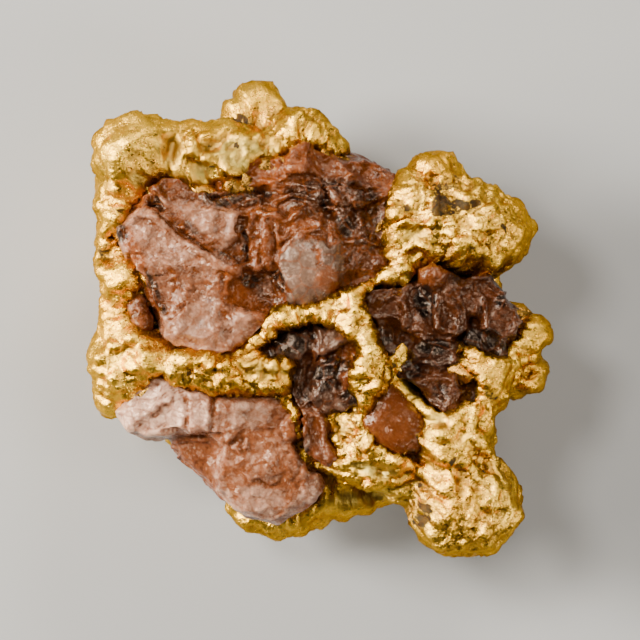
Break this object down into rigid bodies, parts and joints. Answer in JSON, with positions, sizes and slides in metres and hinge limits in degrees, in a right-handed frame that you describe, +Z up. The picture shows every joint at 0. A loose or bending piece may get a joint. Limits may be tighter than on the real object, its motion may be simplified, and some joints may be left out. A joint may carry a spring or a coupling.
{
  "type": "gold nugget with quartz",
  "caption": "Natural lumpy gold nugget, melted-looking and pitted, grown around masses of broken iron-stained quartz; lies flat on its underside.",
  "frame": {"origin": "on the surface that the nugget rests on, under the middle of its outline seen from above", "axes": "+Z up through the best face, +X to the right and +Y to the top of the outline as that face is seen from above"},
  "size_m": [0.0368, 0.0377, 0.0209],
  "materials": {
    "native_gold": "bare native gold, satin and crinkled, with red-brown iron stain in its pits",
    "stained_quartz": "glossy broken quartz, pink-grey to rust brown",
    "pink_quartz": "glossy broken quartz, dusty pink with red cracks",
    "dark_quartz": "glossy granular quartz, dark red-brown with grey glints",
    "honey_quartz": "smooth glossy quartz grain, honey brown"
  },
  "bodies": {
    "root": {"gold": "native_gold", "quartz_upper": "stained_quartz", "quartz_left_chip": "stained_quartz", "quartz_lower": "pink_quartz", "quartz_centre": "dark_quartz", "quartz_right": "dark_quartz", "quartz_pebble": "honey_quartz"}
  },
  "joints": []
}
